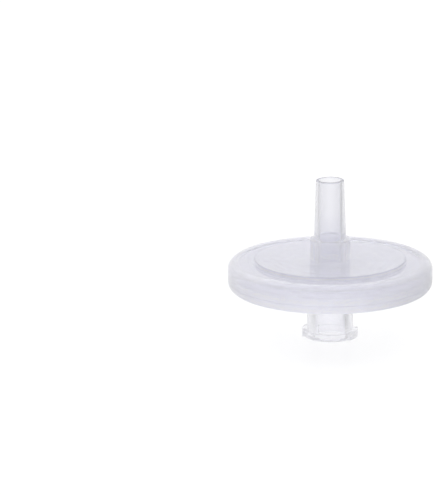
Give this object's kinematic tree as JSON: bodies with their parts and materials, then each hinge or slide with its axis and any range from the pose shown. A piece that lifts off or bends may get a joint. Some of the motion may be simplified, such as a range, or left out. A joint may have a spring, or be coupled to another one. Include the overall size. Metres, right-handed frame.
{
  "type": "syringe filter",
  "caption": "Round sealed syringe filter with a female luer lock inlet below and a male luer slip outlet above.",
  "frame": {"origin": "middle of the inlet mouth, at the face that the filter stands on", "axes": "+Z along the flow axis from the inlet to the outlet tip; +X to the right and -Y towards the front as the filter is usually shown"},
  "size_m": [0.0286, 0.0286, 0.0224],
  "materials": {
    "inlet_polypropylene": "translucent, moulded, semi-gloss",
    "membrane_ptfe": "matt, fine porous film",
    "outlet_polypropylene": "translucent, moulded, semi-gloss",
    "ring_polypropylene": "translucent, moulded, semi-gloss"
  },
  "bodies": {
    "root": {"inlet_housing": "inlet_polypropylene", "membrane": "membrane_ptfe", "outlet_housing": "outlet_polypropylene", "sealing_ring": "ring_polypropylene"}
  },
  "joints": []
}
